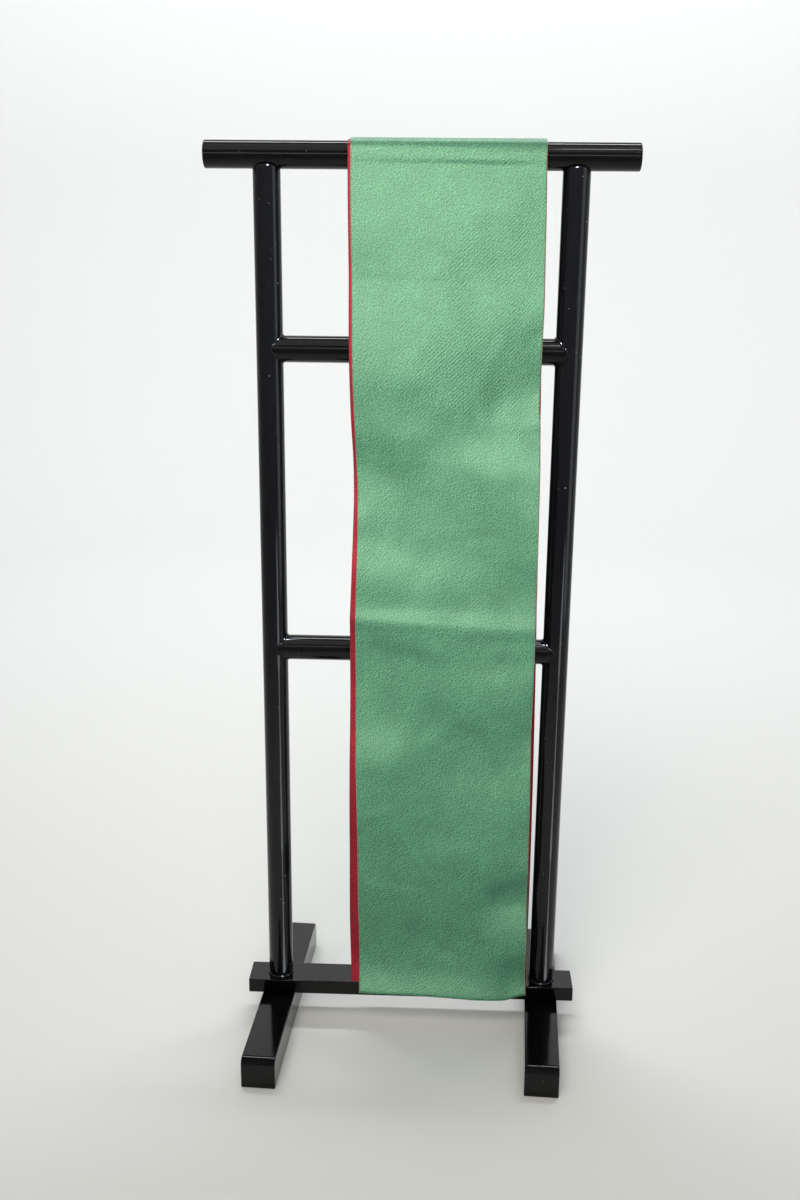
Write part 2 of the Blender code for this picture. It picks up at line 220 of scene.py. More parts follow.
FRONT_CREASES = [
    Crease(-90, 849.4, 150, 847.0, 2.4, -14),
    Crease(5, 848.2, 100, 846.4, 2.4, -9),
    Crease(-120, 833, 170, 829, 13, 2.5),
    Crease(20, 803, 130, 792, 10, -3.5),
    Crease(5, 804, 25, 794, 2.4, -7),
    Crease(-120, 782, 0, 766, 16, -4),
    Crease(15, 764, 115, 771, 13, -3.5),
    Crease(-70, 754, 12, 750, 2.8, -5),
    Crease(0, 750, 115, 748, 3, -2),
    Crease(4, 752, 20, 751, 3, -7),
    Crease(-120, 733, -10, 733, 14, 3),
    Crease(10, 737, 110, 733, 14, 2),
    Crease(150, 726, 88, 710, 10, -3),
    Crease(112, 706, 90, 705, 3.5, -6),
    Crease(-14, 676, 11, 708, 2.2, 9),
    Crease(62, 676, 74, 708, 2.2, 6),
    Crease(-27, 622, -14, 645, 2.2, 6),
    Crease(-18, 596, -2, 626, 2.2, 6),
    Crease(-130, 662, 50, 638, 22, -7),
    Crease(40, 684, 106, 664, 15, -1.5),
    Crease(170, 650, 40, 630, 14, 11),
    Crease(92, 621, 125, 617, 4, -9),
    Crease(8, 632, 76, 618, 15, -4.5),
    Crease(-120, 606, 28, 586, 19, -12),
    Crease(175, 596, 20, 592, 17, 12.5),
    Crease(8, 536, 104, 556, 24, -1),
    Crease(45, 518, 64, 529, 2.6, -8),
    Crease(150, 560, 90, 540, 13, 4),
    Crease(-110, 548, -36, 546, 14, 5),
    Crease(-110, 526, -20, 518, 10, -5),
    Crease(-115, 506, 8, 494, 12, 10),
    Crease(160, 474, 66, 490, 18, -9),
    Crease(-50, 490, 50, 480, 16, 4),
    Crease(-70, 466, 84, 452, 10, -4),
    Crease(-80, 446, 134, 438, 8, 4.5),
    Crease(-80, 433, 134, 427, 6, 6),
    Crease(0, 425, 134, 420, 3.2, -9),
    Crease(-66, 420, 54, 392, 9, -9),
    Crease(66, 405, 116, 399, 7, -9),
    Crease(-90, 386, -40, 379, 7, -6),
    Crease(-90, 366, -30, 361, 10, 6),
    Crease(25, 378, 125, 384, 14, 1.5),
    Crease(-40, 344, 160, 350, 24, -8),
    Crease(-135, 306, 30, 318, 26, 9),
    Crease(36, 333, 58, 329, 4.5, -10),
    Crease(24, 328, 122, 296, 20, -9),
    Crease(92, 346, 140, 336, 11, -4),
    Crease(2, 293, 48, 332, 3.6, -6),
    Crease(88, 302, 155, 294, 18, 8),
    Crease(68, 268, 150, 266, 13, 6),
    Crease(-100, 278, 28, 288, 10, -5),
    Crease(-66, 235, -6, 248, 3.2, 8),
    Crease(-110, 226, -14, 208, 16, -6.5),
    Crease(-20, 197, 90, 205, 12, 4),
    Crease(90, 197, 150, 192, 9, 8),
    Crease(50, 140, 160, 184, 15, -15),
    Crease(46, 112, 165, 120, 20, 11),
    Crease(56, 125, 130, 136, 5, 5),
    Crease(-66, 166, 46, 146, 3.2, 8),
    Crease(-66, 152, 0, 138, 11, -4),
    Crease(-110, 117, -6, 113, 15, -8),
    Crease(-40, 132, 78, 90, 9, -5),
    Crease(46, 132, 76, 130, 3.5, -6),
    Crease(-90, 94, -40, 88, 7, -5),
    Crease(84, 77, 160, 72, 11, -10),
    Crease(-20, 86, 110, 80, 15, 5),
    Crease(24, 73, 48, 82, 2.6, 7),
    Crease(-160, 42, 220, 40, 22, 15),
]

BACK_CREASES = [
    Crease(-70, 848, 115, 848.6, 2.5, -11),
    Crease(-62, 836, 104, 838, 10, 2),
    Crease(-70, 748, 40, 752, 3, -4),
    Crease(30, 742, 118, 738, 9, 5),
    Crease(-70, 716, -40, 698, 10, -5),
    Crease(118, 690, 78, 668, 10, -6),
    Crease(-70, 650, -10, 630, 10, 6),
    Crease(20, 640, 80, 612, 12, -5),
    Crease(118, 600, 60, 588, 9, 6),
    Crease(-70, 575, -8, 588, 12, -5),
    Crease(-30, 540, 50, 526, 12, 4),
    Crease(118, 520, 64, 508, 9, -6),
    Crease(-70, 500, -20, 488, 8, 7),
    Crease(-66, 454, 122, 452, 7, 5),
    Crease(-60, 437, 122, 434, 3, -8),
    Crease(10, 416, 118, 404, 8, -6),
    Crease(-66, 392, -14, 398, 9, -5),
    Crease(-66, 352, 10, 344, 14, 4),
    Crease(60, 340, 124, 352, 10, -5),
    Crease(30, 300, 108, 282, 10, 5),
    Crease(-64, 284, -10, 262, 9, -5),
    Crease(70, 232, 126, 214, 10, -6),
    Crease(-60, 206, 20, 196, 10, 4),
    Crease(-62, 160, -14, 170, 9, -6),
    Crease(20, 148, 112, 132, 12, 5),
    Crease(78, 96, 126, 90, 9, -6),
]

FRONT = -1
BACK = 1
INNER = 0
OUTER = 1

# The lights. Each reaches one group of pieces: all, soft (the cloth and the studio), cloth, posts
# (with all the beads), beads, or rods (the rail and the bars). So the board and the feet get only
# the wall's light and the world's.
WARM = (1.0, 0.97, 0.86)
COOL = (0.86, 0.92, 1.0)
LEAF = (0.8, 1.0, 0.84)
DAYLIGHT = (0.96, 0.98, 1.0)
PEACH = (1.0, 0.93, 0.88)
WORLD_COLOUR = (0.93, 0.96, 1.0)
WORLD_STRENGTH = 0.22
WIDE = 180.0

Lamp = namedtuple("Lamp", "name reaches place aim size power colour spread")

LAMPS = [
    Lamp("front_softbox", "soft", (-0.05, -1.35, 0.86), (0.0, 0.0, 0.65), (0.7, 1.2), 3.9, WARM, 90.0),
    Lamp("floor_glow", "soft", (-0.05, -0.98, 0.012), (-0.05, -0.98, 1.0), (0.9, 0.6), 2.9, LEAF, WIDE),
    Lamp("top_softbox", "soft", (-0.3, -0.95, 1.75), (0.0, 0.0, 0.75), (0.7, 0.7), 4.9, WARM, 120.0),
    Lamp("wall_wash", "all", (0.0, 0.9, 2.9), (0.0, 3.0, 0.8), (2.6, 0.5), 90.0, DAYLIGHT, WIDE),
    Lamp("back_softbox", "cloth", (0.1, 1.35, 1.2), (0.0, 0.0, 0.55), (0.8, 1.1), 7.0, WARM, WIDE),
    Lamp("side_panel", "posts", (1.25, -0.55, 0.75), (0.0, 0.0, 0.65), (0.62, 1.4), 4.0, COOL, WIDE),
    Lamp("spot", "posts", (0.1, -0.5, 2.2), (0.0, 0.0, 0.8), (0.3, 0.3), 110.0, COOL, WIDE),
    Lamp("bead_spot", "beads", (0.1, -1.3, 1.25), (0.0, 0.0, 0.5), (0.2, 0.2), 16.0, COOL, WIDE),
]
ROD_LAMPS = [
    Lamp("ceiling", "rods", (0.0, -0.75, 1.85), (0.0, -0.74, 0.0), (2.0, 1.5), 8.5, PEACH, WIDE),
    Lamp("rail_line", "rods", (0.0, -1.3, 1.02), (0.0, 0.0, 0.85), (1.6, 0.08), 1.8, COOL, WIDE),
    Lamp("rail_glint", "rods", (0.36, -0.53, 1.7), (0.16, 0.0, 0.85), (0.2, 0.03), 0.7, COOL, WIDE),
]

# Strips of light on the floor in front of each post, along a line turned from -Y towards +X. They
# light only that post, whose long streak is their reflection. Near and far are distances from it.
STREAK_TURN = radians(36)
STREAK_HEIGHT = 0.01
Strip = namedtuple("Strip", "near far width power")
STREAK_STRIPS = [
    Strip(0.03, 0.3, 0.03, 0.12),
    Strip(0.3, 1.0, 0.1, 1.1),
    Strip(1.0, 2.9, 0.32, 9.0),
]


# Helpers

def new_object(name, mesh, material):
    thing = bpy.data.objects.new(name, mesh)
    bpy.context.scene.collection.objects.link(thing)
    mesh.materials.append(material)
    return thing


def part_of_stand(thing, *nodes):
    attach(thing, ROOT)
    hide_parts(*nodes)


def spun_mesh(name, outline, sides):
    """A surface turned about Z from points given as distance from the axis and height.

    Its faces look to the left of the way that the outline runs, seen from -Y.
    """
    vertices = []
    rings = []
    for across, up in outline:
        count = sides if across else 1
        rings.append([len(vertices) + number % count for number in range(sides)])
        for number in range(count):
            angle = 2 * pi * number / sides
            vertices.append((across * cos(angle), across * sin(angle), up))
    faces = []
    for ring, following_ring in zip(rings, rings[1:]):
        for number in range(sides):
            beside = (number + 1) % sides
            corners = (ring[number], following_ring[number], following_ring[beside], ring[beside])
            faces.append(list(dict.fromkeys(corners)))
    mesh = bpy.data.meshes.new(name)
    mesh.from_pydata(vertices, [], faces)
    mesh.shade_smooth()
    return mesh


# The stand

def rounded_corner(radius, height, rounding, angle):
    """A point on a rod's rounded end, from its side at angle 0 to its end face at pi / 2."""
    return radius - rounding * (1 - cos(angle)), height - rounding * (1 - sin(angle))


def lathe_mesh(name, radius, length, start_rounding, end_rounding):
    """A round rod along Z on its own centre, with rounded ends."""
    half = length / 2
    outline = [(0.0, half)]
    for step in range(ROUNDING_STEPS + 1):
        angle = pi / 2 * (1 - step / ROUNDING_STEPS)
        outline.append(rounded_corner(radius, half, end_rounding, angle))
    for step in range(ROUNDING_STEPS + 1):
        angle = pi / 2 * step / ROUNDING_STEPS
        across, up = rounded_corner(radius, half, start_rounding, angle)
        outline.append((across, -up))
    outline.append((0.0, -half))
    mesh = spun_mesh(name, outline, ROD_SIDES)
    mesh.set_sharp_from_angle(angle=radians(50))
    return mesh


def middle_and_size(node):
    low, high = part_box(node)
    return (low + high) / 2, high - low


def make_rods(lacquer):
    """The rail, the posts under it and the crossbars, which run into the posts."""
    lying = Matrix.Rotation(pi / 2, 4, "Y")
    middle, size = middle_and_size("stand_rail")
    rail = new_object(
        "rail", lathe_mesh("rail", size.z / 2, size.x, RAIL_END_ROUNDING, RAIL_END_ROUNDING), lacquer
    )
    rail.matrix_world = Matrix.Translation(middle) @ lying
    part_of_stand(rail, "stand_rail")
    posts = {}
    for word in ("left", "right"):
        middle, size = middle_and_size(f"stand_post_{word}")
        mesh = lathe_mesh(f"post_{word}", size.x / 2, size.z, POST_FOOT_ROUNDING, POST_TOP_ROUNDING)
        post = new_object(f"post_{word}", mesh, lacquer)
        post.location = middle
        part_of_stand(post, f"stand_post_{word}")
        posts[word] = middle
    span = posts["right"].x - posts["left"].x
    for word in ("upper", "lower"):
        middle, size = middle_and_size(f"stand_bar_{word}")
        bar = new_object(
            f"bar_{word}", lathe_mesh(f"bar_{word}", size.z / 2, span, EDGE_ROUNDING, EDGE_ROUNDING), lacquer
        )
        bar.matrix_world = Matrix.Translation(middle) @ lying
        part_of_stand(bar, f"stand_bar_{word}")


def rounded_block(name, size, lacquer, end_rounding=0.0):
    """A box on its own centre with softened edges, and larger rounds on its upper ends."""
    maker = bmesh.new()
    bmesh.ops.create_cube(maker, size=1.0, matrix=Matrix.Diagonal((*size, 1.0)))
    if end_rounding:
        ends = [
            edge for edge in maker.edges
            if all(corner.co.z > 0 for corner in edge.verts)
            and abs(edge.verts[0].co.y - edge.verts[1].co.y) < GAP
        ]
        bmesh.ops.bevel(maker, geom=ends, offset=end_rounding, segments=20, profile=0.5, affect="EDGES")
    mesh = bpy.data.meshes.new(name)
    maker.to_mesh(mesh)
    maker.free()
    mesh.shade_smooth()
    block = new_object(name, mesh, lacquer)
    soften = block.modifiers.new("soft_edges", "BEVEL")
    soften.width = EDGE_ROUNDING
    soften.segments = 4
    soften.limit_method = "ANGLE"
    soften.angle_limit = radians(40)
    soften.harden_normals = True
    return block


def make_base(lacquer):
    """The board under the posts and the two feet, which are turned a little."""
    middle, size = middle_and_size("stand_board")
    board = rounded_block("board", size, lacquer)
    board.location = middle
    part_of_stand(board, "stand_board")
    for word in ("left", "right"):
        middle, size = middle_and_size(f"stand_foot_{word}")
        foot = rounded_block(
            f"foot_{word}", (FOOT_WIDTH, FOOT_LENGTH, size.z), lacquer, FOOT_END_ROUNDING
        )
        foot.rotation_euler.z = FOOT_TURN
        foot.location = middle
        part_of_stand(foot, f"stand_foot_{word}")


def lacquer_bead(name, place, lacquer):
    """A thin bead of lacquer along a closed line, which place gives for each angle round it."""
    line = bpy.data.curves.new(name, "CURVE")
    line.dimensions = "3D"
    line.bevel_depth = BEAD_RADIUS
    line.bevel_resolution = 2
    spline = line.splines.new("POLY")
    spline.points.add(BEAD_SIDES - 1)
    for number, point in enumerate(spline.points):
        point.co = (*place(2 * pi * number / BEAD_SIDES), 1.0)
    spline.use_cyclic_u = True
    tube = bpy.data.objects.new(f"{name}_line", line)
    mesh = bpy.data.meshes.new_from_object(tube)
    bpy.data.objects.remove(tube)
    mesh.shade_smooth()
    bead = new_object(name, mesh, lacquer)
    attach(bead, ROOT)


def make_beads(lacquer):
    """The lacquer that has gathered where the bars meet the posts and the posts meet the board."""
    for side, word in ((-1, "left"), (1, "right")):
        post, post_size = middle_and_size(f"stand_post_{word}")
        radius = post_size.x / 2
        foot = post.z - post_size.z / 2
        lacquer_bead(
            f"bead_foot_{word}",
            lambda turn: (
                post.x + radius * cos(turn), post.y + radius * sin(turn), foot + BEAD_RADIUS / 2
            ),
            lacquer,
        )
        for level in ("upper", "lower"):
            bar, bar_size = middle_and_size(f"stand_bar_{level}")
            reach = bar_size.z / 2

            def around(turn):
                out = reach * sin(turn)
                return post.x - side * sqrt(radius ** 2 - out ** 2), bar.y + out, bar.z + reach * cos(turn)

            lacquer_bead(f"bead_{level}_{word}", around, lacquer)


# Shape of the cloth

def smooth_curve(stops, values):
    """A function of place that passes through the values and never overshoots them."""
    order = np.argsort(stops)
    at = np.array(stops, float)[order]
    value = np.array(values, float)[order]
    rise = np.diff(value) / np.diff(at)
    slope = np.zeros(len(at))
    inner = np.arange(1, len(at) - 1)
    same_way = rise[inner - 1] * rise[inner] > 0
    kept = inner[same_way]
    slope[kept] = 2 * rise[kept - 1] * rise[kept] / (rise[kept - 1] + rise[kept])

    def curve(place):
        place = np.clip(place, at[0], at[-1])
        i = np.clip(np.searchsorted(at, place) - 1, 0, len(at) - 2)
        span = at[i + 1] - at[i]
        t = (place - at[i]) / span
        start = value[i] * (1 + 2 * t) + slope[i] * span * t
        end = value[i + 1] * (3 - 2 * t) + slope[i + 1] * span * (t - 1)
        return start * (1 - t) ** 2 + end * t * t

    return curve


def drape_curves(sections):
    """One smooth curve of height for each column of a drape's table, in metres."""
    heights = [section.height * MM for section in sections]
    return {
        name: smooth_curve(heights, [getattr(section, name) * MM for section in sections])
        for name in Section._fields[1:]
    }


DRAPES = {FRONT: drape_curves(FRONT_SECTIONS), BACK: drape_curves(BACK_SECTIONS)}
CREASES = {FRONT: FRONT_CREASES, BACK: BACK_CREASES}


def rail_depth():
    """Distance from the rail's axis to the rail's surface, and the height of that axis."""
    middle, size = middle_and_size("stand_rail")
    return size.z / 2, middle.z


RAIL_RADIUS, RAIL_HEIGHT = rail_depth()


def layer_depth(layer):
    """Distance from the rail's axis to the middle of a layer's wall where it lies on the rail."""
    return RAIL_RADIUS + GAP + WALL / 2 + layer * (WALL + GAP)


def smooth_step(t):
    t = np.clip(t, 0.0, 1.0)
    return t * t * (3 - 2 * t)


def crease_relief(creases, x, z):
    """How far the creases move the cloth outward, in metres, at places across it."""
    lift = np.zeros_like(x)
    for number, crease in enumerate(creases):
        start = np.array((crease.x1, crease.z1)) * MM
        along = np.array((crease.x2, crease.z2)) * MM - start
        length = float(np.hypot(*along))
        along = along / length
        upward = np.array((-along[1], along[0])) * (1 if along[0] >= 0 else -1)
        t = ((x - start[0]) * along[0] + (z - start[1]) * along[1]) / length
        off = (x - start[0]) * upward[0] + (z - start[1]) * upward[1]
        spread = crease.spread * MM
        waver = np.sin(9.0 * t + 1.7 * number) + 0.5 * np.sin(23.0 * t + number)
        off = off + CREASE_WAVER * spread * waver
        across = off / spread
        fade = smooth_step(t / CREASE_END_SHARE) * smooth_step((1 - t) / CREASE_END_SHARE)
        ease = np.exp(-across * across / CREASE_EASE)
        lift -= tan(radians(crease.tilt)) * spread * fade * np.tanh(across) * ease
    return lift


def gentle_waves(x, z):
    """Shallow unevenness of the hanging cloth: many small waves that run every way."""
    chance = np.random.default_rng(WAVE_SEED)
    lift = np.zeros_like(x)
    for _ in range(WAVE_COUNT):
        length = chance.uniform(*WAVE_LENGTHS)
        way = chance.uniform(0, 2 * pi)
        turn = chance.uniform(0, 2 * pi)
        along = x * cos(way) + z * sin(way)
        lift += WAVE_HEIGHT_SHARE * length * np.sin(2 * pi / length * along + turn)
    return lift


def hanging_surface(side, layer, u, height):
    """Middle surface of a hanging layer: arrays of x, y and z."""
    drape = DRAPES[side]
    left = drape["outer_left"](height)
    right = drape["outer_right"](height)
    if layer == OUTER:
        x = left + (right - left) * u
    else:
        x = drape["inner_left"](height) + OBI_WIDTH * u
    across = (x - left) / (right - left)
    out = (
        drape["out_left"](height) * (1 - across) * (1 - 2 * across)
        + drape["out_middle"](height) * 4 * across * (1 - across)
        + drape["out_right"](height) * across * (2 * across - 1)
    )
    below_rail = RAIL_HEIGHT - height
    crease_part = smooth_step(below_rail / CREASE_FADE_IN)
    wave_part = smooth_step(below_rail / WAVE_FADE_IN) * smooth_step((height - WAVE_LOW_END) / WAVE_FADE_OUT)
    z = height - drape["fall"](height) * across
    out = out + crease_relief(CREASES[side], x, z) * crease_part + gentle_waves(x, z) * wave_part
    return x, side * (layer_depth(layer) + out), z


def drop_heights(side, layer):
    """Heights of a drop's rows from the rail down, closer together where the cloth bends most."""
    top = RAIL_HEIGHT - GAP
    bottom = (FRONT_SECTIONS if side == FRONT else BACK_SECTIONS)[-1].height * MM
    step = FRONT_ROW_STEP if (side, layer) == (FRONT, OUTER) else ROW_STEP
    heights = [top]
    while heights[-1] > bottom:
        fine = any(low <= heights[-1] <= high for low, high in FINE_ZONES)
        heights.append(heights[-1] - (FINE_ROW_STEP if fine else step))
    heights[-1] = bottom
    return np.array(heights)


def drop_rows(side, layer, u, hem):
    """A drop's rows of points from the rail down, its last rows following its hem."""
    heights = drop_heights(side, layer)
    ends = np.full_like(u, FOLD_HEIGHT)
    if hem:
        ends = smooth_curve(np.linspace(0, 1, len(hem)), [height * MM for height in hem])(u)
    grid = np.repeat(heights[:, None], len(u), axis=1)
    low = grid < HEM_ZONE
    stretched = HEM_ZONE - (HEM_ZONE - grid) * (HEM_ZONE - ends[None, :]) / (HEM_ZONE - heights[-1])
    grid = np.where(low, stretched, grid)
    across = np.repeat(u[None, :], len(heights), axis=0)
    return np.stack(hanging_surface(side, layer, across, grid), axis=-1)


def turn_rows(layer, u):
    """Rows of points over the rail, from just above the front drop to just above the back one."""
    radius = layer_depth(layer)
    angle = np.linspace(0, pi, TURN_ROWS + 1)[1:-1, None]
    x = hanging_surface(FRONT, layer, u, np.full_like(u, RAIL_HEIGHT))[0][None, :]
    flat = np.zeros_like(u)[None, :]
    return np.stack(
        (x + 0 * angle, -radius * np.cos(angle) + flat, RAIL_HEIGHT + radius * np.sin(angle) + flat), axis=-1
    )


def fold_rows(u):
    """Rows of points round the tight fold at the back, from the outer layer to the inner one."""
    level = np.full_like(u, FOLD_HEIGHT)
    outer = np.stack(hanging_surface(BACK, OUTER, u, level), axis=-1)
    inner = np.stack(hanging_surface(BACK, INNER, u, level), axis=-1)
    above = np.stack(hanging_surface(BACK, OUTER, u, level + ROW_STEP), axis=-1)
    down = outer - above
    down /= np.linalg.norm(down, axis=-1, keepdims=True)
    centre = (outer + inner) / 2 + down * GAP
    half_span = (outer - inner) / 2
    radius = np.linalg.norm(half_span, axis=-1, keepdims=True)
    rows = [
        centre + half_span * cos(angle) + down * radius * sin(angle)
        for angle in np.linspace(0, pi, FOLD_ROWS + 1)
    ]
    return np.stack(rows)


def sash_surface(u):
    """The whole sash's middle surface from its outer free end to its inner one."""
    return np.concatenate([
        drop_rows(FRONT, OUTER, u, OUTER_HEM)[::-1],
        turn_rows(OUTER, u),
        drop_rows(BACK, OUTER, u, None),
        fold_rows(u),
        drop_rows(BACK, INNER, u, None)[::-1],
        turn_rows(INNER, u)[::-1],
        drop_rows(FRONT, INNER, u, INNER_HEM),
    ])


def surface_normals(points):
    """Unit normals of a grid of points, on the face cloth's side."""
    along = np.gradient(points, axis=0)
    across = np.gradient(points, axis=1)
    normal = np.cross(across, along)
    return normal / np.linalg.norm(normal, axis=-1, keepdims=True)


def column_places(overhang):
    """Places across the sash in metres, close together at its two edges."""
    near = [-overhang + place for place in EDGE_COLUMNS]
    far = [OBI_WIDTH + overhang - place for place in EDGE_COLUMNS]
    count = round((far[-1] - near[-1]) / COLUMN_STEP)
    between = np.linspace(near[-1], far[-1], count + 1)[1:-1]
    return np.array(near + list(between) + far[::-1])


def rolled(distance):
    """How much of a ply's thickness is left at a distance from its rounded edge."""
    t = np.clip(distance / EDGE_ROLL, 0.0, 1.0)
    return np.sqrt(1 - (1 - t) ** 2)


def ply_mesh(name, overhang, near_offset, far_offset):
    """A closed thin shell between two offsets from the sash's middle surface."""
    places = column_places(overhang)
    points = sash_surface(places / OBI_WIDTH)
    normals = surface_normals(points)
    steps = np.linalg.norm(np.diff(points, axis=0), axis=-1)
    along = np.concatenate([np.zeros((1, len(places))), np.cumsum(steps, axis=0)])
    from_end = np.minimum(along, along[-1] - along)
    from_side = np.minimum(places - places[0], places[-1] - places)[None, :]
    keep = np.minimum(rolled(from_end), rolled(from_side))
    towards = 1 if far_offset > near_offset else -1
    thick = towards * (RIM + (abs(far_offset - near_offset) - RIM) * keep)
    inside = points + normals * near_offset
    outside = points + normals * (near_offset + thick)[..., None]
    return shell_mesh(name, outside, inside, along, places, flip=towards < 0)


def shell_mesh(name, outside, inside, along, places, flip):
    """Two grids of points joined round their rims, with each point's place on the flat cloth."""
    rows, columns = outside.shape[:2]
    index = np.arange(rows * columns).reshape(rows, columns)
    corners = (index[:-1, :-1], index[:-1, 1:], index[1:, 1:], index[1:, :-1])
    quads = np.stack(corners, axis=-1).reshape(-1, 4)
    under = quads[:, ::-1] + rows * columns
    border = np.concatenate((index[0, :-1], index[:-1, -1], index[-1, :0:-1], index[:0:-1, 0]))
    following = np.roll(border, -1)
    rims = np.stack((following, border, border + rows * columns, following + rows * columns), axis=-1)
    faces = np.concatenate((quads, under, rims))
    if flip:
        faces = faces[:, ::-1]
    vertices = np.concatenate((outside.reshape(-1, 3), inside.reshape(-1, 3)))
    mesh = bpy.data.meshes.new(name)
    mesh.from_pydata(vertices.tolist(), [], faces.tolist())
    weave = mesh.attributes.new("weave", "FLOAT_VECTOR", "POINT")
    across = np.repeat(places[None, :], rows, axis=0)
    cloth_place = np.stack((across, along, np.zeros_like(along)), axis=-1).reshape(-1, 3)
    weave.data.foreach_set("vector", np.concatenate((cloth_place, cloth_place)).astype(np.float32).ravel())
    mesh.shade_smooth()
    mesh.set_sharp_from_angle(angle=radians(60))
    return mesh


def make_sash(green, red):
    """The face and reverse plies of the sash, each one continuous strip of cloth."""
    nodes = [name for name in frame["nodes"] if name.startswith("obi_")]
    face = new_object("sash_face", ply_mesh("sash_face", 0.0, PLY_GAP / 2, WALL / 2), green)
    reverse = new_object(
        "sash_reverse", ply_mesh("sash_reverse", REVERSE_PEEK, -PLY_GAP / 2, -WALL / 2), red
    )
    red_nodes = [name for name in nodes if name.endswith("inner")]
    green_nodes = [name for name in nodes if name not in red_nodes]
    for ply, slot, stood_for in ((face, "obi_face", green_nodes), (reverse, "obi_reverse", red_nodes)):
        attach(ply, ROOT)
        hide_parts(*stood_for)


# Materials

class Nodes:
    """A short way to add and join a material's nodes."""

    def __init__(self, name):
        self.material = bpy.data.materials.new(name)
        self.material.use_nodes = True
        self.tree = self.material.node_tree
        self.shader = self.tree.nodes["Principled BSDF"]

    def add(self, kind, **settings):
        node = self.tree.nodes.new(kind)
        for key, value in settings.items():
            if key in node.inputs:
                node.inputs[key].default_value = value
            else:
                setattr(node, key, value)
        return node

    def join(self, output, target):
        self.tree.links.new(output, target)

    def math(self, operation, first, second):
        node = self.tree.nodes.new("ShaderNodeMath")
        node.operation = operation
        for socket, value in zip(node.inputs, (first, second)):
            if isinstance(value, (int, float)):
                socket.default_value = value
            else:
                self.join(value, socket)
        return node.outputs[0]

    def mix(self, factor, first, second, blend="MIX"):
        node = self.tree.nodes.new("ShaderNodeMix")
        node.data_type = "RGBA"
        node.blend_type = blend
        for socket, value in ((node.inputs[0], factor), (node.inputs[6], first), (node.inputs[7], second)):
            if isinstance(value, (int, float)):
                socket.default_value = value
            elif isinstance(value, tuple):
                socket.default_value = (*value, 1.0)
            else:
                self.join(value, socket)
        return node.outputs[2]

    def set(self, **values):
        for key, value in values.items():
            self.shader.inputs[key.replace("_", " ")].default_value = value


